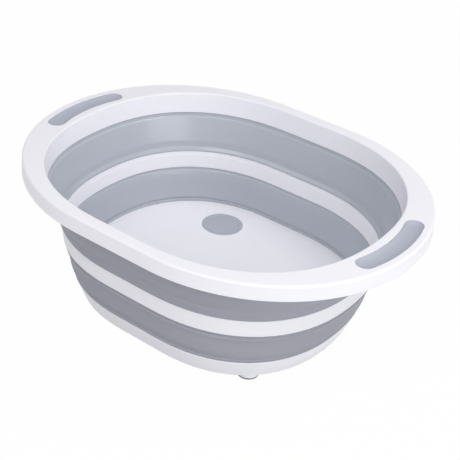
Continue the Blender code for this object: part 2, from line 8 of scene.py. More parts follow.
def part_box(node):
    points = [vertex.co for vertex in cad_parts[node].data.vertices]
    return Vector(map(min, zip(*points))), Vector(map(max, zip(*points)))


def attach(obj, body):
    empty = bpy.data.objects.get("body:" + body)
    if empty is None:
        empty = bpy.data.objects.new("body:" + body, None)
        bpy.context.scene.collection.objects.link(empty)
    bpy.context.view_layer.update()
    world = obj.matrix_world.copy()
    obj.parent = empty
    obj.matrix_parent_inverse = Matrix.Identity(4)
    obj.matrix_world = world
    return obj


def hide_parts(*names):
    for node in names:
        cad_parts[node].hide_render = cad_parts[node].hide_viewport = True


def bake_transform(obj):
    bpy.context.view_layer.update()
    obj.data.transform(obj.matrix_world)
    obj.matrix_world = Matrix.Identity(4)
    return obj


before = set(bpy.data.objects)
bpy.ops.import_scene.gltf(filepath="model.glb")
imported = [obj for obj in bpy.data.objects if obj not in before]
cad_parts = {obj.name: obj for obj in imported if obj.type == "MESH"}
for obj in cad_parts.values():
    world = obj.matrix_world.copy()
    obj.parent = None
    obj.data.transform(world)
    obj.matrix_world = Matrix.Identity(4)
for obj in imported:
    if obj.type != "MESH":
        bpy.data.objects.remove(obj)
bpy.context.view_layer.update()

bl_info = {
    "name": "Collapsible Camp Washbasin",
    "version": (1, 0, 0),
    "blender": (4, 5, 0),
    "location": "3D View > Sidebar > Basin",
    "description": "Models and dresses a folding oval washbasin round its fixed frame",
    "category": "Add Mesh",
}

# The clearance between neighbouring pieces, and the heights that the frame's pieces give
GAP = 0.0003
RIM_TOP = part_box("rim")[1].z
WALL_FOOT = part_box("upper_bellows")[1].z + GAP
RING_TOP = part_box("upper_bellows")[0].z - GAP
RING_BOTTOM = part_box("lower_bellows")[1].z + GAP
FLOOR_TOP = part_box("lower_bellows")[0].z - GAP
BASE_FOOT = 0.0062
FLOOR_RISE = 0.0011
BASE_TOP = FLOOR_TOP - FLOOR_RISE

# Half length and half width of the tub's inner surface at each level, and of the rim's flange,
# with half of each oval's straight side and the power that squares its round ends
MOUTH = (0.1763, 0.1503)
RIM_WALL_FOOT = (0.1743, 0.1483)
RING_UPPER = (0.1590, 0.1340)
RING_LOWER = (0.1569, 0.1319)
FLOOR_EDGE = (0.1443, 0.1213)
TUB_STRAIGHT = 0.0230
TUB_ROUND_SHARE = 0.881
RIM_OUTER = (0.2110, 0.1634)
RIM_STRAIGHT = 0.0420
RIM_ROUND_SHARE = 0.990

# Tongues on the stiff rings, and the soft walls' grooves round them
TONGUE_INSET = 0.0013
TONGUE_OUTER = 0.0022
TONGUE_HEIGHT = 0.0014
GROOVE_IN = TONGUE_INSET - GAP
GROOVE_OUT = TONGUE_OUTER + GAP
GROOVE_DEPTH = TONGUE_HEIGHT + GAP

# How finely each form is divided
QUARTER_STEPS = 44
SIDE_STEPS = 10
ARC_STEPS = 5
WALL_STEPS = 5
RIM_EDGE_STEPS = 9
SMALL_ARC_STEPS = 4
SWELL_STEPS = 8
DISH_STEPS = 16
GRIP_SPAN_STEPS = 32
GRIP_END_STEPS = 14
POST_STEPS = 72
PLUG_STEPS = 96
FOOT_PAD_STEPS = 48
DIMPLE_LEVELS = 13

# Limits of shading, merging and rounding, a cutter's overlength, and the small end of a turned piece
SMOOTH_ANGLE = math.radians(32)
MERGE_DISTANCE = 1e-6
ARC_REACH_SHARE = 0.499
CUT_MARGIN = 0.001
POLE_RADIUS = 0.0002

# Radii of small edges
CRISP_EDGE = 0.0001
FINE_EDGE = 0.0002
SMALL_EDGE = 0.0003
EASED_EDGE = 0.0004
SOFT_EDGE = 0.0005

# Skirt, grips, drain, feet and floor, with the feet a little further out than in the solids
SKIRT_WALL = 0.0022
SKIRT_HEIGHT = 0.0157
SKIRT_DRAFT = 0.0006
RIM_FLANGE = 0.0026
RIM_RIB_WALL = 0.0016
RIM_RIB_DEPTH = 0.0080
RIM_RIB_ANGLES = (24.6, 49.1, 73.6, 85.9)
GRIP_INSET = 0.0165
GRIP_HALF_WIDTH = 0.0091
GRIP_HALF_LENGTH = 0.0519
GRIP_POCKET = 0.0040
GRIP_BOSS_WALL = 0.0016
DRAIN = (-0.0540, 0.0767)
DRAIN_RADIUS = 0.0225
DRAIN_RECESS = 0.0020
DRAIN_HOLE_RADIUS = 0.0165
DRAIN_BOSS_WALL = 0.0025
DRAIN_BOSS_DEPTH = 0.0040
FOOT = (0.1015, 0.0782)
FOOT_RADIUS = 0.0109
FOOT_TOP_RADIUS = 0.0122
FOOT_PAD_RADIUS = 0.0107
FOOT_PAD_THICKNESS = 0.0014
FOOT_SPIGOT_RADIUS = 0.0038
FOOT_SPIGOT_HEIGHT = 0.0045
FLOOR_PLATE = 0.0026
BASE_WALL = 0.0022
BASE_RIB_WALL = 0.0016
BASE_RIB_DEPTH = 0.0045

# Heights in and under the floor plate, and of the foot posts' lower ends
PLATE_MIDDLE = FLOOR_TOP - FLOOR_PLATE / 2
PLATE_FOOT = FLOOR_TOP - FLOOR_PLATE
SEAT_FOOT = PLATE_FOOT - DRAIN_RECESS
BOSS_FOOT = SEAT_FOOT - DRAIN_BOSS_DEPTH
POST_FOOT = FOOT_PAD_THICKNESS + GAP

# The rim: the roots of its walls, the chamfer round its grips, and the grips' rounding and dish
RIM_ROOT = 0.0012
RECESS_CHAMFER = 0.00025
GRIP_ROUNDING = 0.0004
GRIP_DISH_POWER = 2.4

# The middle ring: its band inside, its lower edge, and its faint lines' heights from the nearer edge
RING_BAND_FOOT = 0.0034
RING_FACE_HEAD = 0.0039
RING_LOW_EDGE = 0.0009
RING_LOW_LINE = (0.0050, 0.0054, 0.0058)
RING_HIGH_LINE = (0.0037, 0.0034, 0.0031)
RING_LINE_DEPTH = 0.0002

# The base: its lip, its wall's foot, and the swell round the drain
BASE_MARGIN = 0.0040
LIP_STEP = 0.0007
LIP_HEIGHT = 0.0020
LIP_SLOPE = 0.0003
BASE_FOOT_EDGE = 0.0014
SWELL_REACH = 0.0056
SWELL_LIFT = 0.00002
RECESS_EDGE = 0.0006

# The drain plug: its crowned top, as round as fits, its stem, and its dimple with angles in degrees
PLUG_CROWN = 0.0003
PLUG_CROWN_SHARE = 0.5
PLUG_CROWN_EDGE = 1.0
PLUG_HOLLOW_REACH = 1.8
PLUG_HOLLOW_EDGE = 0.0024
PLUG_LIP_EDGE = 0.0008
PLUG_RIM_EDGE = 0.0011
STEM_LENGTH = 0.0090
STEM_WALL = 0.0018
STEM_CHAMFER = 0.0010
BORE_EDGE = 0.0010
DIMPLE_PLACE = (-0.0071, 0.0083)
DIMPLE_BALL = 0.030
DIMPLE_DEPTH = 0.0005
DIMPLE_FIRST_ANGLE = 0.4
DIMPLE_ANGLE_STEP = 1.6

# How far the folding walls' inner and outer faces stand out from the tub's even surface,
# as (drop below the wall's top, out) in metres
UPPER_INNER = (
    (0.0003, 0.00030), (0.0014, 0.00056), (0.0026, 0.00082), (0.0034, 0.00098), (0.0038, 0.00092),
    (0.0042, 0.00048), (0.0047, 0.00008), (0.0054, -0.00004), (0.0070, -0.00002), (0.0130, 0.00010),
    (0.0200, 0.00024), (0.0265, 0.00036), (0.0298, 0.00044), (0.0308, 0.00054), (0.0330, 0.00090),
    (0.0352, 0.00122), (0.0362, 0.00134), (0.0368, 0.00128), (0.0378, 0.00090), (0.0390, 0.00044),
    (0.0398, 0.00018), (0.0403, 0.00022), (0.0408, 0.00040), (0.0414, 0.00046),
)
UPPER_OUTER = (
    (0.0414, 0.00266), (0.0409, 0.00284), (0.0402, 0.00290), (0.0388, 0.00280), (0.0370, 0.00256),
    (0.0356, 0.00244), (0.0348, 0.00226), (0.0344, 0.00230), (0.0340, 0.00262), (0.0335, 0.00268),
    (0.0322, 0.00238), (0.0305, 0.00190), (0.0294, 0.00158), (0.0287, 0.00150), (0.0280, 0.00160),
    (0.0260, 0.00220), (0.0230, 0.00292), (0.0200, 0.00350), (0.0170, 0.00388), (0.0140, 0.00402),
    (0.0110, 0.00396), (0.0070, 0.00362), (0.0036, 0.00332), (0.0003, 0.00318),
)
LOWER_INNER = (
    (0.0003, 0.00030), (0.0014, 0.00054), (0.0024, 0.00078), (0.0029, 0.00080), (0.0033, 0.00060),
    (0.0038, 0.00040), (0.0046, 0.00030), (0.0062, 0.00014), (0.0085, -0.00004), (0.0115, -0.00010),
    (0.0150, 0.00002), (0.0190, 0.00016), (0.0240, 0.00016), (0.0290, 0.00000), (0.0315, -0.00006),
    (0.0328, -0.00004), (0.0332, 0.00012), (0.0335, 0.00090), (0.0339, 0.00154), (0.0345, 0.00166),
    (0.0350, 0.00146), (0.0354, 0.00080), (0.0357, 0.00046), (0.0361, 0.00042), (0.0366, 0.00056),
    (0.0372, 0.00076), (0.0381, 0.00096),
)
LOWER_OUTER = (
    (0.0392, 0.00335), (0.0389, 0.00345), (0.0385, 0.00372), (0.0380, 0.00404), (0.0374, 0.00436),
    (0.0369, 0.00442), (0.0363, 0.00424), (0.0358, 0.00376), (0.0353, 0.00350), (0.0347, 0.00352),
    (0.0338, 0.00372), (0.0322, 0.00408), (0.0304, 0.00438), (0.0286, 0.00450), (0.0266, 0.00444),
    (0.0240, 0.00414), (0.0205, 0.00352), (0.0170, 0.00288), (0.0145, 0.00252), (0.0122, 0.00236),
    (0.0104, 0.00238), (0.0088, 0.00256), (0.0076, 0.00282), (0.0068, 0.00300), (0.0061, 0.00294),
    (0.0055, 0.00246), (0.0049, 0.00190), (0.0043, 0.00164), (0.0036, 0.00166), (0.0028, 0.00196),
    (0.0020, 0.00250), (0.0013, 0.00270), (0.0003, 0.00276),
)


class BasinSizes(bpy.types.PropertyGroup):
    edge_radius: bpy.props.FloatProperty(
        name="Rim edge radius", description="Rounding of the flange's outer edge",
        default=0.0023, unit="LENGTH",
    )
    mouth_radius: bpy.props.FloatProperty(
        name="Mouth radius", description="Rounding between the flange and the tub wall",
        default=0.0016, unit="LENGTH",
    )
    lip_radius: bpy.props.FloatProperty(
        name="Skirt lip radius", description="Rounding of the skirt's lower edge",
        default=0.0008, unit="LENGTH",
    )
    grip_dish: bpy.props.FloatProperty(
        name="Grip dish", description="Depth of a grip pad's dished middle below its edge",
        default=0.0028, unit="LENGTH",
    )
    grip_edge: bpy.props.FloatProperty(
        name="Grip edge", description="Height of a grip pad's edge below the flange",
        default=0.0002, unit="LENGTH",
    )
    ring_wall: bpy.props.FloatProperty(
        name="Ring wall", description="Thickness of the middle ring",
        default=0.0029, unit="LENGTH",
    )
    ring_bead: bpy.props.FloatProperty(
        name="Ring bead", description="How far the ring's inner face stands in below its top band",
        default=0.0003, unit="LENGTH",
    )
    base_taper: bpy.props.FloatProperty(
        name="Base taper", description="How far the base's wall draws in towards its foot",
        default=0.0071, unit="LENGTH",
    )
    base_lip: bpy.props.FloatProperty(
        name="Base lip", description="How far the base's lip stands out from the tub's inner surface",
        default=0.0038, unit="LENGTH",
    )
    drain_edge: bpy.props.FloatProperty(
        name="Drain edge", description="Height of the floor's soft raised edge round the drain plug",
        default=0.0004, unit="LENGTH",
    )
    plug_lip: bpy.props.FloatProperty(
        name="Plug lip", description="Width of the drain plug's raised lip",
        default=0.0024, unit="LENGTH",
    )
    plug_dish: bpy.props.FloatProperty(
        name="Plug dish", description="Depth of the drain plug's hollow round its crowned middle",
        default=0.0009, unit="LENGTH",
    )


class BasinColours(bpy.types.PropertyGroup):
    white: bpy.props.FloatVectorProperty(
        name="White plastic", description="Colour of the rim, ring and base",
        default=(0.888, 0.887, 0.934), size=3, subtype="COLOR", min=0.0, max=1.0,
    )
    wall_grey: bpy.props.FloatVectorProperty(
        name="Soft wall grey", description="Colour of the folding walls' outer face",
        default=(0.366, 0.373, 0.424), size=3, subtype="COLOR", min=0.0, max=1.0,
    )
    # Painted light: the inner face's grey is lighter and bluer than the outer face's grey, standing in for
    # the brighter light inside the tub
    inner_grey_painted_lighter: bpy.props.FloatVectorProperty(
        name="Inner face grey", description="Colour of the folding walls' smoother inner face",
        default=(0.450, 0.478, 0.532), size=3, subtype="COLOR", min=0.0, max=1.0,
    )
    grip_grey: bpy.props.FloatVectorProperty(
        name="Grip grey", description="Colour of the grip pads",
        default=(0.428, 0.452, 0.522), size=3, subtype="COLOR", min=0.0, max=1.0,
    )
    plug_grey: bpy.props.FloatVectorProperty(
        name="Plug grey", description="Colour of the drain plug",
        default=(0.438, 0.465, 0.521), size=3, subtype="COLOR", min=0.0, max=1.0,
    )
    foot_grey: bpy.props.FloatVectorProperty(
        name="Foot grey", description="Colour of the foot pads",
        default=(0.12, 0.12, 0.14), size=3, subtype="COLOR", min=0.0, max=1.0,
    )


class BasinStage(bpy.types.PropertyGroup):
    distance: bpy.props.FloatProperty(
        name="Camera distance", description="From the camera to the middle of the rim's top",
        default=1.04055, unit="LENGTH",
    )
    azimuth: bpy.props.FloatProperty(
        name="Azimuth", description="How far the camera stands round to the right of the front",
        default=math.radians(36.0), unit="ROTATION",
    )
    elevation: bpy.props.FloatProperty(
        name="Elevation", description="How far the camera looks down",
        default=math.radians(29.103), unit="ROTATION",
    )
    roll: bpy.props.FloatProperty(
        name="Roll", description="Turn of the camera about its own line of sight",
        default=math.radians(4.337), unit="ROTATION",
    )
    pan: bpy.props.FloatProperty(
        name="Pan", description="Turn of the line of sight to the right of the rim's middle",
        default=math.radians(0.508), unit="ROTATION",
    )
    tilt: bpy.props.FloatProperty(
        name="Tilt", description="Turn of the line of sight above the rim's middle",
        default=math.radians(-3.198), unit="ROTATION",
    )
    lens: bpy.props.FloatProperty(
        name="Lens", description="Focal length on a 36 mm sensor, in millimetres", default=83.21,
    )
    world_strength: bpy.props.FloatProperty(
        name="World light", description="Strength of the even light from all round", default=0.344,
    )
    shadow_share: bpy.props.FloatProperty(
        name="Floor shadow", description="How much of its real shading the floor shows", default=0.02,
    )


# Shapes


def oval(half_sizes, straight, round_share, out):
    """Plan points anticlockwise, moved out: four rounded quarters and two straight sides."""
    half_length, half_width = half_sizes
    end = half_length - straight
    slope = 2 - round_share
    quarter = []
    for step in range(QUARTER_STEPS + 1):
        angle = math.pi / 2 * step / QUARTER_STEPS
        across = max(math.cos(angle), 0.0)
        along = math.sin(angle)
        out_x = across**slope / end
        out_y = along**slope / half_width
        size = math.hypot(out_x, out_y)
        x = straight + end * across**round_share + out * out_x / size
        y = half_width * along**round_share + out * out_y / size
        quarter.append((x, y))
    side = []
    for step in range(1, SIDE_STEPS):
        side.append((straight * (1 - 2 * step / SIDE_STEPS), quarter[-1][1]))
    points = quarter + side
    points += [(-x, y) for x, y in reversed(quarter)]
    points += [(-x, -y) for x, y in quarter[1:]]
    points += [(-x, -y) for x, y in side]
    points += [(x, -y) for x, y in reversed(quarter[1:])]
    return points


def between(low, high, share):
    return low + (high - low) * share


def tub_half_sizes(height):
    """Half length and half width of the tub's even inner surface at a height."""
    levels = (
        (FLOOR_TOP, FLOOR_EDGE), (RING_BOTTOM, RING_LOWER), (RING_TOP, RING_UPPER),
        (WALL_FOOT, RIM_WALL_FOOT), (RIM_TOP, MOUTH),
    )
    height = min(max(height, FLOOR_TOP), RIM_TOP)
    for lower, upper in zip(levels, levels[1:]):
        if height <= upper[0]:
            share = (height - lower[0]) / (upper[0] - lower[0])
            return between(lower[1][0], upper[1][0], share), between(lower[1][1], upper[1][1], share)
    return MOUTH


def tub_loop(out, height):
    plan = oval(tub_half_sizes(height), TUB_STRAIGHT, TUB_ROUND_SHARE, out)
    return [(x, y, height) for x, y in plan]


def rim_loop(out, height):
    plan = oval(RIM_OUTER, RIM_STRAIGHT, RIM_ROUND_SHARE, out)
    return [(x, y, height) for x, y in plan]


def round_loop(centre, radius, height, steps=POST_STEPS):
    """A level circle of points."""
    angles = [2 * math.pi * step / steps for step in range(steps)]
    x, y = centre
    return [(x + radius * math.cos(angle), y + radius * math.sin(angle), height) for angle in angles]


def rounded(corners, steps=ARC_STEPS):
    """An open outline of (out, height) points, with an arc where a corner states a radius."""
    points = [corners[0][:2]]
    for before, corner, after in zip(corners, corners[1:], corners[2:]):
        out, height, radius = corner
        if not radius:
            points.append((out, height))
            continue
        here = Vector((out, height))
        back = Vector(before[:2]) - here
        ahead = Vector(after[:2]) - here
        limit = min(back.length, ahead.length) * ARC_REACH_SHARE
        half = back.angle(ahead) / 2
        reach = min(radius / math.tan(half), limit)
        radius = reach * math.tan(half)
        back.normalize()
        ahead.normalize()
        centre = here + (back + ahead).normalized() * (radius / math.sin(half))
        first = here + back * reach - centre
        last = here + ahead * reach - centre
        start = math.atan2(first.y, first.x)
        turn = (math.atan2(last.y, last.x) - start + math.pi) % (2 * math.pi) - math.pi
        for step in range(steps + 1):
            angle = start + turn * step / steps
            points.append((centre.x + radius * math.cos(angle), centre.y + radius * math.sin(angle)))
    points.append(corners[-1][:2])
    return points


def smooth_line(points, steps):
    """A smooth line through the points, with extra points between each two."""
    line = [points[0]]
    for index in range(len(points) - 1):
        p1 = Vector(points[index])
        p2 = Vector(points[index + 1])
        p0 = Vector(points[index - 1]) if index else p1 * 2 - p2
        p3 = Vector(points[index + 2]) if index + 2 < len(points) else p2 * 2 - p1
        gaps = [(b - a).length**0.5 for a, b in ((p0, p1), (p1, p2), (p2, p3))]
        m1 = ((p1 - p0) / gaps[0] - (p2 - p0) / (gaps[0] + gaps[1])) * gaps[1] + (p2 - p1)
        m2 = (p2 - p1) - ((p3 - p1) / (gaps[1] + gaps[2]) - (p3 - p2) / gaps[2]) * gaps[1]
        for step in range(1, steps + 1):
            t = step / steps
            spot = (
                p1 * (2 * t**3 - 3 * t**2 + 1) + m1 * (t**3 - 2 * t**2 + t)
                + p2 * (3 * t**2 - 2 * t**3) + m2 * (t**3 - t**2)
            )
            line.append((spot.x, spot.y))
    return line


def deselect():
    bpy.ops.object.select_all(action="DESELECT")


def make_active(piece):
    deselect()
    piece.select_set(True)
    bpy.context.view_layer.objects.active = piece


def sweep(name, loops, closed):
    """A solid made by extruding one loop of edges from place to place, then closing it."""
    deselect()
    bpy.ops.mesh.primitive_circle_add(vertices=len(loops[0]), radius=1.0, fill_type="NOTHING")
    piece = bpy.context.object
    piece.name = name
    piece.data.name = name
    bpy.ops.object.mode_set(mode="EDIT")
    mesh = bmesh.from_edit_mesh(piece.data)
    place = mesh.verts.layers.int.new("place")
    station = mesh.verts.layers.int.new("station")
    for index, vertex in enumerate(mesh.verts):
        vertex[place] = index
        vertex.co = loops[0][index]
    for number, loop in enumerate(loops[1:] + (loops[:1] if closed else []), 1):
        bpy.ops.mesh.extrude_edges_indiv()
        mesh = bmesh.from_edit_mesh(piece.data)
        place = mesh.verts.layers.int["place"]
        station = mesh.verts.layers.int["station"]
        for vertex in mesh.verts:
            if vertex.select:
                vertex.co = loop[vertex[place]]
                vertex[station] = number
    if closed:
        bpy.ops.mesh.select_all(action="SELECT")
        bpy.ops.mesh.remove_doubles(threshold=MERGE_DISTANCE)
    else:
        bpy.ops.mesh.edge_face_add()
        bpy.ops.mesh.select_all(action="DESELECT")
        bpy.ops.mesh.select_non_manifold()
        bpy.ops.mesh.edge_face_add()
    bpy.ops.mesh.select_all(action="SELECT")
    bpy.ops.mesh.normals_make_consistent(inside=False)
    bpy.ops.object.mode_set(mode="OBJECT")
    piece.data.attributes.remove(piece.data.attributes["place"])
    return piece


def mark_inner_face(piece, inner_count):
    """Keeps, as an attribute, which points lie on a wall's inner face, where the material paints a lighter
    grey as painted light and adds a coat.
    """
    stations = [entry.value for entry in piece.data.attributes["station"].data]
    mask = piece.data.attributes.new("inner_face", "FLOAT", "POINT")
    mask.data.foreach_set("value", [float(number < inner_count) for number in stations])


def combine(piece, tools, operation):
    """Adds tool solids to the piece, or cuts them away, and removes the tools."""
    for tool in tools:
        make_active(piece)
        bpy.ops.object.modifier_add(type="BOOLEAN")
        step = piece.modifiers[-1]
        step.operation = operation
        step.solver = "EXACT"
        step.object = tool
        bpy.ops.object.modifier_apply(modifier=step.name)
        bpy.data.objects.remove(tool, do_unlink=True)


def plate(name, start, finish, wall, low, high):
    """An upright plate between two plan points."""
    start = Vector(start)
    run = Vector(finish) - start
    middle = start + run / 2
    deselect()
    bpy.ops.mesh.primitive_cube_add(
        size=1.0, location=(middle.x, middle.y, (low + high) / 2),
        rotation=(0.0, 0.0, math.atan2(run.y, run.x)), scale=(run.length, wall, high - low),
    )
    made = bpy.context.object
    made.name = name
    bpy.ops.object.transform_apply(location=True, rotation=True, scale=True)
    return made


def joined(pieces):
    """Joins helper solids that don't touch each other."""
    make_active(pieces[0])
    for piece in pieces:
        piece.select_set(True)
    bpy.ops.object.join()
    return bpy.context.object


def finish_piece(piece, material, weighted=True):
    """Shades the piece smooth with crisp corners and gives it its material."""
    make_active(piece)
    if "station" in piece.data.attributes:
        piece.data.attributes.remove(piece.data.attributes["station"])
    bpy.ops.object.shade_smooth_by_angle(angle=SMOOTH_ANGLE)
    if weighted:
        bpy.ops.object.modifier_add(type="WEIGHTED_NORMAL")
        piece.modifiers[-1].keep_sharp = True
        bpy.ops.object.modifier_apply(modifier=piece.modifiers[-1].name)
    piece.data.materials.clear()
    piece.data.materials.append(material)
    deselect()


# Pieces


def rim_loops(sizes):
    """The rim's section: the tub wall with its tongue, the flange, and the outer skirt."""
    under = RIM_TOP - RIM_FLANGE
    skirt_foot = RIM_TOP - SKIRT_HEIGHT
    wall = rounded((
        (TONGUE_OUTER + 2 * RIM_ROOT, under, 0.0),
        (TONGUE_OUTER, under, RIM_ROOT),
        (TONGUE_OUTER, WALL_FOOT, 0.0),
        (TONGUE_OUTER, WALL_FOOT - TONGUE_HEIGHT, 0.0),
        (TONGUE_INSET, WALL_FOOT - TONGUE_HEIGHT, 0.0),
        (TONGUE_INSET, WALL_FOOT, 0.0),
        (0.0, WALL_FOOT, EASED_EDGE),
        (0.0, RIM_TOP, sizes.mouth_radius),
        (2 * sizes.mouth_radius, RIM_TOP, 0.0),
    ))
    edge = rounded((
        (-2 * sizes.edge_radius, RIM_TOP, 0.0),
        (0.0, RIM_TOP, sizes.edge_radius),
        (SKIRT_DRAFT, skirt_foot, 0.0),
    ), RIM_EDGE_STEPS)
    skirt = rounded((
        (0.0, RIM_TOP - 2 * sizes.edge_radius, 0.0),
        (SKIRT_DRAFT, skirt_foot, sizes.lip_radius),
        (SKIRT_DRAFT - SKIRT_WALL, skirt_foot, sizes.lip_radius),
        (-SKIRT_WALL, under, RIM_ROOT),
        (-SKIRT_WALL - 2 * RIM_ROOT, under, 0.0),
    ))
    loops = [tub_loop(out, height) for out, height in wall[1:]]
    return loops + [rim_loop(out, height) for out, height in edge[:-1] + skirt[1:-1]]


def rim_ribs():
    """The short ribs between the tub wall and the skirt."""
    inner = oval(MOUTH, TUB_STRAIGHT, TUB_ROUND_SHARE, TONGUE_OUTER / 2)
    outer = oval(RIM_OUTER, RIM_STRAIGHT, RIM_ROUND_SHARE, -SKIRT_WALL / 2)
    low = RIM_TOP - RIM_RIB_DEPTH
    high = RIM_TOP - RIM_FLANGE / 2
    ribs = []
    for angle in RIM_RIB_ANGLES:
        place = round(angle / 90 * QUARTER_STEPS)
        for x, y in ((1, 1), (-1, 1), (1, -1), (-1, -1)):
            start = (x * inner[place][0], y * inner[place][1])
            finish = (x * outer[place][0], y * outer[place][1])
            ribs.append(plate("rib", start, finish, RIM_RIB_WALL, low, high))
    return joined(ribs)


def grip_loop(side, reach, height):
    """A level loop round a grip's curved middle line, with half-round ends."""
    plan = oval(RIM_OUTER, RIM_STRAIGHT, RIM_ROUND_SHARE, -GRIP_INSET)
    end = plan[-QUARTER_STEPS:] + plan[:QUARTER_STEPS + 1]
    limit = GRIP_HALF_LENGTH - GRIP_HALF_WIDTH
    spine = []
    for step in range(GRIP_SPAN_STEPS + 1):
        y = between(-limit, limit, step / GRIP_SPAN_STEPS)
        for one, other in zip(end, end[1:]):
            if one[1] <= y <= other[1]:
                share = (y - one[1]) / (other[1] - one[1])
                spine.append(Vector((side * between(one[0], other[0], share), y)))
                break
    outer = []
    inner = []
    for index, point in enumerate(spine):
        run = spine[min(index + 1, GRIP_SPAN_STEPS)] - spine[max(index - 1, 0)]
        out = Vector((run.y, -run.x)).normalized() * reach
        outer.append(point + out)
        inner.append(point - out)
    rear = half_round(spine[-1], outer[-1])
    front = half_round(spine[0], inner[0])
    return [(p.x, p.y, height) for p in outer + rear + inner[::-1] + front]


def half_round(centre, start):
    """Points round a half circle anticlockwise from a start point, without its two ends."""
    arm = start - centre
    turns = [math.pi * step / GRIP_END_STEPS for step in range(1, GRIP_END_STEPS)]
    return [centre + Matrix.Rotation(turn, 2) @ arm for turn in turns]


def build_rim(sizes, material):
    """The stiff rim, with ribs under its flange and a boss and a recess for each grip pad."""
    rim = sweep("rim_shell", rim_loops(sizes), True)
    combine(rim, [rim_ribs()], "UNION")
    wide = GRIP_HALF_WIDTH + GRIP_BOSS_WALL
    boss = ((wide, RIM_TOP - GRIP_POCKET - GRIP_BOSS_WALL), (wide, RIM_TOP - RIM_FLANGE / 2))
    recess = (
        (GRIP_HALF_WIDTH, RIM_TOP - GRIP_POCKET),
        (GRIP_HALF_WIDTH, RIM_TOP - RECESS_CHAMFER),
        (GRIP_HALF_WIDTH + RECESS_CHAMFER, RIM_TOP),
        (GRIP_HALF_WIDTH + 3 * RECESS_CHAMFER, RIM_TOP + 2 * RECESS_CHAMFER),
    )
    for side in (-1, 1):
        for name, levels, operation in (("boss", boss, "UNION"), ("recess", recess, "DIFFERENCE")):
            tool = sweep(name, [grip_loop(side, reach, height) for reach, height in levels], False)
            combine(rim, [tool], operation)
    finish_piece(rim, material)
    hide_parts("rim")
    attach(rim, "rim")


def build_grips(sizes, material):
    """The two soft pads, each dished along its middle and rounded over at its edge."""
    reach = GRIP_HALF_WIDTH - GAP
    edge = RIM_TOP - sizes.grip_edge
    soft = GRIP_ROUNDING
    levels = [(reach, RIM_TOP - GRIP_POCKET + GAP), (reach, edge - soft)]
    for step in range(1, SMALL_ARC_STEPS + 1):
        angle = math.pi / 2 * step / SMALL_ARC_STEPS
        levels.append((reach - soft * (1 - math.cos(angle)), edge - soft * (1 - math.sin(angle))))
    for step in range(1, DISH_STEPS):
        share = 1 - step / DISH_STEPS
        levels.append(((reach - soft) * share, edge - sizes.grip_dish * (1 - share**GRIP_DISH_POWER)))
    for name, side in (("grip_pad_left", -1), ("grip_pad_right", 1)):
        pad = sweep(name + "_skin", [grip_loop(side, out, height) for out, height in levels], False)
        finish_piece(pad, material, weighted=False)
        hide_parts(name)
        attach(pad, "rim")


def wall_face(top, table):
    """A smooth line of (out, height) points through a table of (drop, out)."""
    line = smooth_line([(out, drop) for drop, out in table], WALL_STEPS)
    return [(out, top - drop) for out, drop in line]


def wall_section(top, bottom, outer_bottom, inner, outer):
    """A folding wall's closed section, from its inner top round to its outer top, and its inner count."""
    section = wall_face(top, inner)
    foot = bottom + GAP
    section[-1] = (section[-1][0], foot)
    inner_count = len(section)
    section += [(GROOVE_IN, foot), (GROOVE_IN, bottom + GROOVE_DEPTH)]
    section += [(GROOVE_OUT, bottom + GROOVE_DEPTH), (GROOVE_OUT, outer_bottom + GAP)]
    outside = wall_face(top, outer)
    outside[0] = (outside[0][0], outer_bottom + GAP)
    section += outside
    head = top - GAP
    section += [(GROOVE_OUT, head), (GROOVE_OUT, top - GROOVE_DEPTH)]
    section += [(GROOVE_IN, top - GROOVE_DEPTH), (GROOVE_IN, head)]
    return section, inner_count


def build_walls(material):
    """The two folding walls, each between the stiff rings above and below it."""
    walls = (
        ("upper", WALL_FOOT, RING_TOP, RING_TOP, UPPER_INNER, UPPER_OUTER, "ring", "rim"),
        ("lower", RING_BOTTOM, FLOOR_TOP, BASE_TOP, LOWER_INNER, LOWER_OUTER, "base", "ring"),
    )
    for place, top, bottom, outer_bottom, inner, outer, below, above in walls:
        section, inner_count = wall_section(top, bottom, outer_bottom, inner, outer)
        wall = sweep(place + "_soft_wall", [tub_loop(out, height) for out, height in section], True)
        mark_inner_face(wall, inner_count)
        finish_piece(wall, material, weighted=False)
        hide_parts(place + "_bellows")
        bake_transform(wall)


def faint_line(out, depth, heights):
    """Three points of a shallow groove across a face."""
    low, middle, high = heights
    return (out, low, CRISP_EDGE), (out - depth, middle, CRISP_EDGE), (out, high, CRISP_EDGE)


def build_ring(sizes, material):
    """The stiff ring between the folding walls, with a set-back band inside and faint lines outside."""
    wall = sizes.ring_wall
    bead = sizes.ring_bead
    section = rounded((
        (TONGUE_INSET, RING_TOP + TONGUE_HEIGHT, 0.0),
        (TONGUE_INSET, RING_TOP, 0.0),
        (bead, RING_TOP, SMALL_EDGE),
        (bead, RING_TOP - RING_BAND_FOOT, FINE_EDGE),
        (0.0, RING_TOP - RING_FACE_HEAD, SMALL_EDGE),
        (0.0, RING_BOTTOM, EASED_EDGE),
        (TONGUE_INSET, RING_BOTTOM, 0.0),
        (TONGUE_INSET, RING_BOTTOM - TONGUE_HEIGHT, 0.0),
        (TONGUE_OUTER, RING_BOTTOM - TONGUE_HEIGHT, 0.0),
        (TONGUE_OUTER, RING_BOTTOM, 0.0),
        (wall, RING_BOTTOM, RING_LOW_EDGE),
        *faint_line(wall, RING_LINE_DEPTH, [RING_BOTTOM + rise for rise in RING_LOW_LINE]),
        *faint_line(wall, RING_LINE_DEPTH / 2, [RING_TOP - drop for drop in RING_HIGH_LINE]),
        (wall, RING_TOP, EASED_EDGE),
        (TONGUE_OUTER, RING_TOP, 0.0),
        (TONGUE_OUTER, RING_TOP + TONGUE_HEIGHT, 0.0),
    ), SMALL_ARC_STEPS)
    ring = sweep("ring_band", [tub_loop(out, height) for out, height in section], True)
    finish_piece(ring, material)
    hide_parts("middle_ring")
    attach(ring, "ring")


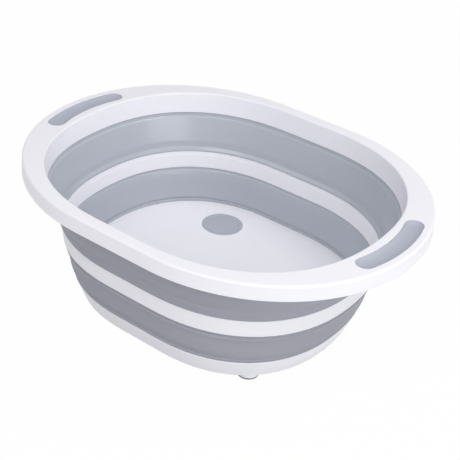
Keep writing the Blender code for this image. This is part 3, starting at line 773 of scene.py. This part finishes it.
def base_section(sizes):
    """The base's section, from inside the floor's edge out, down the wall and back under the floor."""
    lip_foot = BASE_TOP - LIP_HEIGHT
    wall_top = sizes.base_lip - LIP_STEP
    wall_foot = wall_top - sizes.base_taper
    return rounded((
        (-BASE_MARGIN, FLOOR_TOP, 0.0),
        (TONGUE_INSET, FLOOR_TOP, 0.0),
        (TONGUE_INSET, FLOOR_TOP + TONGUE_HEIGHT, 0.0),
        (TONGUE_OUTER, FLOOR_TOP + TONGUE_HEIGHT, 0.0),
        (TONGUE_OUTER, BASE_TOP, 0.0),
        (sizes.base_lip, BASE_TOP, SMALL_EDGE),
        (sizes.base_lip - LIP_STEP / 2, lip_foot, FINE_EDGE),
        (wall_top, lip_foot - LIP_SLOPE, FINE_EDGE),
        (wall_foot, BASE_FOOT, BASE_FOOT_EDGE),
        (wall_foot - BASE_WALL, BASE_FOOT, SOFT_EDGE),
        (TONGUE_OUTER - BASE_WALL, PLATE_FOOT, 0.0),
        (-BASE_MARGIN, PLATE_FOOT, 0.0),
    ))


def post(name, centre, levels):
    """A round helper solid through (radius, height) levels."""
    return sweep(name, [round_loop(centre, radius, height) for radius, height in levels], False)


def foot_places():
    return [(x * FOOT[0], y * FOOT[1]) for x, y in ((-1, -1), (1, -1), (-1, 1), (1, 1))]


def add_floor_ribs(base):
    """Two ribs lengthwise and two crosswise, from foot to foot."""
    low = PLATE_FOOT - BASE_RIB_DEPTH
    places = foot_places()
    for pairs in (((0, 1), (2, 3)), ((0, 2), (1, 3))):
        ribs = []
        for one, other in pairs:
            ribs.append(plate("rib", places[one], places[other], BASE_RIB_WALL, low, PLATE_MIDDLE))
        combine(base, [joined(ribs)], "UNION")


def add_drain(base, sizes):
    """The drain's seat and boss under the floor, and the soft raised edge round it."""
    seat_radius = DRAIN_RADIUS + DRAIN_BOSS_WALL
    boss_radius = DRAIN_HOLE_RADIUS + DRAIN_BOSS_WALL
    seat = post("seat", DRAIN, ((seat_radius, SEAT_FOOT), (seat_radius, PLATE_MIDDLE)))
    boss = post("boss", DRAIN, ((boss_radius, BOSS_FOOT), (boss_radius, PLATE_MIDDLE)))
    combine(base, [seat, boss], "UNION")
    swell = [(DRAIN_RADIUS + SWELL_REACH, PLATE_MIDDLE)]
    for step in range(SWELL_STEPS + 1):
        share = step / SWELL_STEPS
        radius = DRAIN_RADIUS + SWELL_REACH - (SWELL_REACH - RECESS_EDGE) * share
        height = sizes.drain_edge * math.sin(math.pi / 2 * share)**2
        swell.append((radius, FLOOR_TOP + SWELL_LIFT + height))
    combine(base, [post("drain_edge", DRAIN, swell)], "UNION")


def cut_drain(base, sizes):
    """The plug's recess, rounded at its mouth, and the hole through the boss."""
    recess = [(DRAIN_RADIUS, FLOOR_TOP - DRAIN_RECESS)]
    crest = FLOOR_TOP + sizes.drain_edge
    for step in range(SMALL_ARC_STEPS + 1):
        angle = math.pi / 2 * step / SMALL_ARC_STEPS
        radius = DRAIN_RADIUS + RECESS_EDGE * (1 - math.cos(angle))
        recess.append((radius, crest - RECESS_EDGE * (1 - math.sin(angle))))
    recess.append((DRAIN_RADIUS + RECESS_EDGE, crest + CUT_MARGIN))
    hole = ((DRAIN_HOLE_RADIUS, BOSS_FOOT - CUT_MARGIN), (DRAIN_HOLE_RADIUS, FLOOR_TOP + CUT_MARGIN))
    combine(base, [post("recess", DRAIN, recess), post("hole", DRAIN, hole)], "DIFFERENCE")


def add_foot_posts(base):
    levels = (
        (FOOT_RADIUS - EASED_EDGE, POST_FOOT), (FOOT_RADIUS - CRISP_EDGE, POST_FOOT + CRISP_EDGE),
        (FOOT_RADIUS, POST_FOOT + EASED_EDGE), (FOOT_TOP_RADIUS, PLATE_MIDDLE),
    )
    combine(base, [joined([post("foot", place, levels) for place in foot_places()])], "UNION")


def cut_foot_sockets(base):
    socket = FOOT_SPIGOT_RADIUS + GAP
    levels = ((socket, POST_FOOT - CUT_MARGIN), (socket, FOOT_PAD_THICKNESS + FOOT_SPIGOT_HEIGHT + GAP))
    combine(base, [joined([post("socket", place, levels) for place in foot_places()])], "DIFFERENCE")


def build_base(sizes, material):
    """The floor and its tapered wall, with ribs, drain and foot posts, each post with a socket."""
    base = sweep("base_tray", [tub_loop(out, height) for out, height in base_section(sizes)], False)
    add_floor_ribs(base)
    add_drain(base, sizes)
    add_foot_posts(base)
    cut_drain(base, sizes)
    cut_foot_sockets(base)
    finish_piece(base, material)
    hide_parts("base")
    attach(base, "base")


def build_plug(sizes, material):
    """The drain plug: a crowned disc with a raised lip and a shallow dimple, on a short hollow stem."""
    radius = DRAIN_RADIUS - GAP
    lip_top = FLOOR_TOP + sizes.drain_edge
    crown = lip_top + PLUG_CROWN
    seat = FLOOR_TOP - DRAIN_RECESS + GAP
    stem = DRAIN_HOLE_RADIUS - GAP
    stem_foot = seat - STEM_LENGTH
    bore = stem - STEM_WALL
    hollow = radius - PLUG_HOLLOW_REACH * sizes.plug_lip
    profile = rounded((
        (POLE_RADIUS, crown, 0.0),
        (PLUG_CROWN_SHARE * hollow, crown, PLUG_CROWN_EDGE),
        (hollow, lip_top - sizes.plug_dish, PLUG_HOLLOW_EDGE),
        (radius - sizes.plug_lip, lip_top, PLUG_LIP_EDGE),
        (radius, lip_top, PLUG_RIM_EDGE),
        (radius, seat, SMALL_EDGE),
        (stem, seat, EASED_EDGE),
        (stem, stem_foot + STEM_CHAMFER, EASED_EDGE),
        (stem - STEM_CHAMFER, stem_foot, EASED_EDGE),
        (bore, stem_foot, EASED_EDGE),
        (bore, seat - GAP, BORE_EDGE),
        (POLE_RADIUS, seat - GAP, 0.0),
    ))
    plug = sweep("plug_disc", [round_loop(DRAIN, r, z, PLUG_STEPS) for r, z in profile], False)
    ball = []
    for level in range(DIMPLE_LEVELS):
        angle = math.radians(DIMPLE_FIRST_ANGLE + DIMPLE_ANGLE_STEP * level)
        height = crown - DIMPLE_DEPTH + DIMPLE_BALL * (1 - math.cos(angle))
        ball.append((DIMPLE_BALL * math.sin(angle), height))
    dimple = post("dimple", Vector(DRAIN) + Vector(DIMPLE_PLACE), ball)
    combine(plug, [dimple], "DIFFERENCE")
    finish_piece(plug, material)
    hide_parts("drain_plug")
    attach(plug, "plug")


def build_foot_pads(material):
    """A thin pad under each foot post, with a spigot in the post's socket."""
    names = ("front_left", "front_right", "rear_left", "rear_right")
    spigot_top = FOOT_PAD_THICKNESS + FOOT_SPIGOT_HEIGHT
    profile = rounded((
        (POLE_RADIUS, spigot_top, 0.0),
        (FOOT_SPIGOT_RADIUS, spigot_top, EASED_EDGE),
        (FOOT_SPIGOT_RADIUS, FOOT_PAD_THICKNESS, 0.0),
        (FOOT_PAD_RADIUS, FOOT_PAD_THICKNESS, SMALL_EDGE),
        (FOOT_PAD_RADIUS, 0.0, SOFT_EDGE),
        (POLE_RADIUS, 0.0, 0.0),
    ))
    for name, place in zip(names, foot_places()):
        pad = sweep("foot_disc_" + name, [round_loop(place, r, z, FOOT_PAD_STEPS) for r, z in profile], False)
        finish_piece(pad, material)
        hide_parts("foot_pad_" + name)
        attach(pad, "base")


# Materials

SURFACE_INPUTS = ("Patch", "Patch Size", "Roughness", "Sheen Swing", "Grain Size")

# Each finish: its colour, its surface inputs in that order, its grain's depth and its IOR
FINISHES = {
    "white_moulding": ("white", (0.02, 9.0, 0.34, 0.08, 2400.0), 0.00002, 1.25),
    "soft_wall": ("wall_grey", (0.06, 12.0, 0.36, 0.12, 1600.0), 0.00004, 1.1),
    "grip_rubber": ("grip_grey", (0.05, 30.0, 0.46, 0.10, 1500.0), 0.00004, 1.4),
    "plug_rubber": ("plug_grey", (0.05, 30.0, 0.40, 0.10, 1500.0), 0.00003, 1.4),
    "foot_rubber": ("foot_grey", (0.10, 60.0, 0.55, 0.10, 1500.0), 0.00004, 1.4),
}
INNER_COAT_ROUGHNESS = 0.2
INNER_COAT_IOR = 1.45

# The colour mix node's sockets, which share their names with its other kinds
MIX_SHARE = 0
MIX_FIRST = 6
MIX_SECOND = 7
MIX_RESULT = 2


def feed(tree, node, sources):
    """Links sources to a node's inputs, which are given by name or number."""
    for key, source in sources.items():
        tree.links.new(source, node.inputs[key])


def put(tree, kind, sources=None, **values):
    """Adds a node, sets its properties and inputs by name, and links any sources to it."""
    node = tree.nodes.new(kind)
    for name, value in values.items():
        if name in node.inputs:
            node.inputs[name].default_value = value
        else:
            setattr(node, name, value)
    feed(tree, node, sources or {})
    return node


def moulded_surface():
    """Node group: soft colour patches, uneven sheen and the fine grain of a moulded surface."""
    group = bpy.data.node_groups.new("moulded_surface", "ShaderNodeTree")
    defaults = {
        "Colour": (0.8, 0.8, 0.8, 1.0), "Patch": 0.03, "Patch Size": 14.0, "Roughness": 0.4,
        "Sheen Swing": 0.06, "Grain Size": 1800.0,
    }
    for way, names in (("INPUT", defaults), ("OUTPUT", ("Colour", "Roughness", "Grain"))):
        for name in names:
            kind = "NodeSocketColor" if name == "Colour" else "NodeSocketFloat"
            socket = group.interface.new_socket(name, in_out=way, socket_type=kind)
            if way == "INPUT":
                socket.default_value = defaults[name]
    given = group.nodes.new("NodeGroupInput").outputs
    place = group.nodes.new("ShaderNodeTexCoord").outputs["Object"]
    sources = {"Vector": place, "Scale": given["Patch Size"]}
    patches = put(group, "ShaderNodeTexNoise", sources, Detail=3.0, Roughness=0.5)
    centred = put(group, "ShaderNodeMath", {0: patches.outputs["Fac"]}, operation="SUBTRACT")
    centred.inputs[1].default_value = 0.5
    shift = put(group, "ShaderNodeMath", {0: centred.outputs[0], 1: given["Patch"]}, operation="MULTIPLY")
    level = put(group, "ShaderNodeMath", {0: shift.outputs[0]}, operation="ADD")
    level.inputs[1].default_value = 1.0
    sources = {0: given["Colour"], "Scale": level.outputs[0]}
    tone = put(group, "ShaderNodeVectorMath", sources, operation="SCALE")
    streaks = put(group, "ShaderNodeTexNoise", {"Vector": place}, Scale=55.0, Detail=4.0, Roughness=0.6)
    sources = {0: streaks.outputs["Fac"], 1: given["Sheen Swing"], 2: given["Roughness"]}
    swing = put(group, "ShaderNodeMath", sources, operation="MULTIPLY_ADD")
    sources = {"Vector": place, "Scale": given["Grain Size"]}
    grain = put(group, "ShaderNodeTexNoise", sources, Detail=2.0, Roughness=0.6)
    put(group, "NodeGroupOutput", {
        "Colour": tone.outputs[0], "Roughness": swing.outputs[0], "Grain": grain.outputs["Fac"],
    })
    return group


def moulded_material(name, colour, inputs, grain_depth, index, inner):
    """A moulded plastic or rubber with its own grain, sheen and patches, and any other inner colour, which is
    painted light.
    """
    made = bpy.data.materials.new(name)
    made.use_nodes = True
    tree = made.node_tree
    shader = tree.nodes["Principled BSDF"]
    surface = tree.nodes.new("ShaderNodeGroup")
    surface.node_tree = bpy.data.node_groups.get("moulded_surface") or moulded_surface()
    surface.inputs["Colour"].default_value = (*colour, 1.0)
    for key, value in zip(SURFACE_INPUTS, inputs):
        surface.inputs[key].default_value = value
    if inner is not None:
        # The inner face takes its lighter, bluer grey, painted light for the brighter inside of the tub, and
        # a glossy coat
        face = put(tree, "ShaderNodeAttribute", attribute_name="inner_face").outputs["Fac"]
        blend = put(tree, "ShaderNodeMix", {MIX_SHARE: face}, data_type="RGBA")
        blend.inputs[MIX_FIRST].default_value = (*colour, 1.0)
        blend.inputs[MIX_SECOND].default_value = (*inner, 1.0)
        feed(tree, surface, {"Colour": blend.outputs[MIX_RESULT]})
        feed(tree, shader, {"Coat Weight": face})
        shader.inputs["Coat Roughness"].default_value = INNER_COAT_ROUGHNESS
        shader.inputs["Coat IOR"].default_value = INNER_COAT_IOR
    sources = {"Height": surface.outputs["Grain"]}
    bump = put(tree, "ShaderNodeBump", sources, Strength=1.0, Distance=grain_depth)
    feed(tree, shader, {
        "Base Color": surface.outputs["Colour"], "Roughness": surface.outputs["Roughness"],
        "Normal": bump.outputs["Normal"],
    })
    shader.inputs["IOR"].default_value = index
    return made


def finish(name):
    """Finds a finish, or makes it the first time that a piece asks for it."""
    if name in bpy.data.materials:
        return bpy.data.materials[name]
    colours = bpy.context.scene.basin_colours
    colour_name, inputs, grain_depth, index = FINISHES[name]
    # The soft wall's inner face gets a lighter grey, painted light for the brighter inside of the tub
    inner = colours.inner_grey_painted_lighter if name == "soft_wall" else None
    return moulded_material(name, getattr(colours, colour_name), inputs, grain_depth, index, inner)


# Stage

WHITE = (1.0, 1.0, 1.0, 1.0)
WORLD_COLOUR = (1.0, 0.985, 1.02, 1.0)
FLOOR_COLOUR = (0.74, 0.74, 0.74, 1.0)
FLOOR_ROUGHNESS = 0.9
FLOOR_SIZE = 30.0
FLOOR_HEIGHT = -0.0002

# Softboxes: name, azimuth and elevation in degrees, width and height in metres, power in watts
LAMPS = (
    ("key_light", 10.0, 50.0, 0.9, 0.9, 7.8),
    ("side_light", 72.0, 18.0, 1.25, 0.9, 10.0),
    ("rear_light", 120.0, 60.0, 0.9, 0.9, 9.1),
    ("front_light", -30.0, 30.0, 0.9, 0.9, 2.8),
)
LAMP_DISTANCE = 1.7
LAMP_AIM = Vector((0.0, 0.0, 0.08))
SENSOR_WIDTH = 36.0
CLIP_START = 0.01


def white_where_seen(tree, plain, white, output):
    """Shows pure white to the camera and in reflections, and the plain shader to all other light."""
    path = tree.nodes.new("ShaderNodeLightPath")
    seen = path.outputs["Is Camera Ray"]
    for ray in ("Is Glossy Ray", "Is Transmission Ray"):
        sources = {0: seen, 1: path.outputs[ray]}
        seen = put(tree, "ShaderNodeMath", sources, operation="ADD", use_clamp=True).outputs[0]
    mix = put(tree, "ShaderNodeMixShader", {0: seen, 1: plain, 2: white})
    tree.links.new(mix.outputs[0], output)


def build_world(stage):
    world = bpy.data.worlds.new("studio_world")
    bpy.context.scene.world = world
    world.use_nodes = True
    tree = world.node_tree
    plain = tree.nodes["Background"]
    plain.inputs["Color"].default_value = WORLD_COLOUR
    plain.inputs["Strength"].default_value = stage.world_strength
    white = put(tree, "ShaderNodeBackground", Color=WHITE, Strength=1.0)
    white_where_seen(tree, plain.outputs[0], white.outputs[0], tree.nodes["World Output"].inputs["Surface"])


def build_floor(stage):
    """A plain white floor that shows only a trace of the basin's shadow."""
    deselect()
    bpy.ops.mesh.primitive_plane_add(size=FLOOR_SIZE, location=(0.0, 0.0, FLOOR_HEIGHT))
    floor = bpy.context.object
    floor.name = "studio_floor"
    made = bpy.data.materials.new("studio_white")
    made.use_nodes = True
    tree = made.node_tree
    shader = tree.nodes["Principled BSDF"]
    shader.inputs["Base Color"].default_value = FLOOR_COLOUR
    shader.inputs["Roughness"].default_value = FLOOR_ROUGHNESS
    bright = put(tree, "ShaderNodeEmission", Color=WHITE, Strength=1.0)
    sources = {1: shader.outputs[0], 2: bright.outputs[0]}
    traced = put(tree, "ShaderNodeMixShader", sources, Fac=1.0 - stage.shadow_share)
    output = tree.nodes["Material Output"].inputs["Surface"]
    white_where_seen(tree, shader.outputs[0], traced.outputs[0], output)
    floor.data.materials.append(made)


def direction(azimuth, elevation):
    """From the basin outwards, at an azimuth round to the right of the front."""
    level = math.cos(elevation)
    return Vector((math.sin(azimuth) * level, -math.cos(azimuth) * level, math.sin(elevation)))


def softbox(name, azimuth, elevation, width, height, energy):
    """An area lamp that faces the middle of the basin."""
    back = direction(math.radians(azimuth), math.radians(elevation))
    bpy.ops.object.light_add(type="AREA", location=LAMP_AIM + back * LAMP_DISTANCE)
    lamp = bpy.context.object
    lamp.name = name
    lamp.data.shape = "RECTANGLE"
    lamp.data.size = width
    lamp.data.size_y = height
    lamp.data.energy = energy
    lamp.rotation_euler = back.to_track_quat("Z", "Y").to_euler()


def build_camera(stage):
    """A camera aimed at the middle of the rim's top, then panned, tilted and rolled."""
    back = direction(stage.azimuth, stage.elevation)
    right = (-back).cross(Vector((0.0, 0.0, 1.0))).normalized()
    up = right.cross(-back)
    ahead = (
        -back * (math.cos(stage.pan) * math.cos(stage.tilt))
        + right * (math.sin(stage.pan) * math.cos(stage.tilt)) + up * math.sin(stage.tilt)
    )
    level = ahead.cross(up).normalized()
    upward = level.cross(ahead)
    side = level * math.cos(stage.roll) + upward * math.sin(stage.roll)
    top = upward * math.cos(stage.roll) - level * math.sin(stage.roll)
    place = Vector((0.0, 0.0, RIM_TOP)) + back * stage.distance
    bpy.ops.object.camera_add(location=place)
    camera = bpy.context.object
    camera.name = "basin_camera"
    camera.rotation_euler = Matrix((side, top, -ahead)).transposed().to_euler()
    camera.data.lens = stage.lens
    camera.data.sensor_width = SENSOR_WIDTH
    camera.data.clip_start = CLIP_START
    bpy.context.scene.camera = camera


def build_stage():
    stage = bpy.context.scene.basin_stage
    build_world(stage)
    build_floor(stage)
    for lamp in LAMPS:
        softbox(*lamp)
    build_camera(stage)
    bpy.context.scene.view_settings.view_transform = "Standard"


# Operators


class BASIN_OT_rim(bpy.types.Operator):
    """Models the stiff rim with its flange, skirt and grip recesses"""

    bl_idname = "basin.rim"
    bl_label = "Rim"

    def execute(self, context):
        build_rim(context.scene.basin_sizes, finish("white_moulding"))
        return {"FINISHED"}


class BASIN_OT_grips(bpy.types.Operator):
    """Models the soft grip pads in the rim's ends"""

    bl_idname = "basin.grips"
    bl_label = "Grip pads"

    def execute(self, context):
        build_grips(context.scene.basin_sizes, finish("grip_rubber"))
        return {"FINISHED"}


class BASIN_OT_walls(bpy.types.Operator):
    """Models the two soft folding walls"""

    bl_idname = "basin.walls"
    bl_label = "Folding walls"

    def execute(self, context):
        build_walls(finish("soft_wall"))
        return {"FINISHED"}


class BASIN_OT_ring(bpy.types.Operator):
    """Models the stiff middle ring"""

    bl_idname = "basin.ring"
    bl_label = "Middle ring"

    def execute(self, context):
        build_ring(context.scene.basin_sizes, finish("white_moulding"))
        return {"FINISHED"}


class BASIN_OT_base(bpy.types.Operator):
    """Models the base with its floor, ribs, foot posts and drain"""

    bl_idname = "basin.base"
    bl_label = "Base"

    def execute(self, context):
        build_base(context.scene.basin_sizes, finish("white_moulding"))
        return {"FINISHED"}


class BASIN_OT_plug(bpy.types.Operator):
    """Models the drain plug"""

    bl_idname = "basin.plug"
    bl_label = "Drain plug"

    def execute(self, context):
        build_plug(context.scene.basin_sizes, finish("plug_rubber"))
        return {"FINISHED"}


class BASIN_OT_feet(bpy.types.Operator):
    """Models the pads under the foot posts"""

    bl_idname = "basin.feet"
    bl_label = "Foot pads"

    def execute(self, context):
        build_foot_pads(finish("foot_rubber"))
        return {"FINISHED"}


class BASIN_OT_stage(bpy.types.Operator):
    """Sets up the floor, the lights and the camera"""

    bl_idname = "basin.stage"
    bl_label = "Stage"

    def execute(self, context):
        build_stage()
        return {"FINISHED"}


class BASIN_PT_panel(bpy.types.Panel):
    bl_label = "Washbasin"
    bl_idname = "BASIN_PT_panel"
    bl_space_type = "VIEW_3D"
    bl_region_type = "UI"
    bl_category = "Basin"

    def draw(self, context):
        for group in (context.scene.basin_sizes, context.scene.basin_colours, context.scene.basin_stage):
            box = self.layout.box()
            for name in group.__annotations__:
                box.prop(group, name)
        for operator in OPERATORS:
            self.layout.operator(operator.bl_idname)


GROUPS = (BasinSizes, BasinColours, BasinStage)
OPERATORS = (
    BASIN_OT_rim, BASIN_OT_grips, BASIN_OT_walls, BASIN_OT_ring, BASIN_OT_base, BASIN_OT_plug,
    BASIN_OT_feet, BASIN_OT_stage,
)


def register():
    for entry in GROUPS + OPERATORS + (BASIN_PT_panel,):
        bpy.utils.register_class(entry)
    bpy.types.Scene.basin_sizes = bpy.props.PointerProperty(type=BasinSizes)
    bpy.types.Scene.basin_colours = bpy.props.PointerProperty(type=BasinColours)
    bpy.types.Scene.basin_stage = bpy.props.PointerProperty(type=BasinStage)


def unregister():
    del bpy.types.Scene.basin_stage
    del bpy.types.Scene.basin_colours
    del bpy.types.Scene.basin_sizes
    for entry in reversed(GROUPS + OPERATORS + (BASIN_PT_panel,)):
        bpy.utils.unregister_class(entry)


def main():
    register()
    bpy.ops.basin.rim()
    bpy.ops.basin.grips()
    bpy.ops.basin.walls()
    bpy.ops.basin.ring()
    bpy.ops.basin.base()
    bpy.ops.basin.plug()
    bpy.ops.basin.feet()
    bpy.ops.basin.stage()


if __name__ == "__main__":
    main()
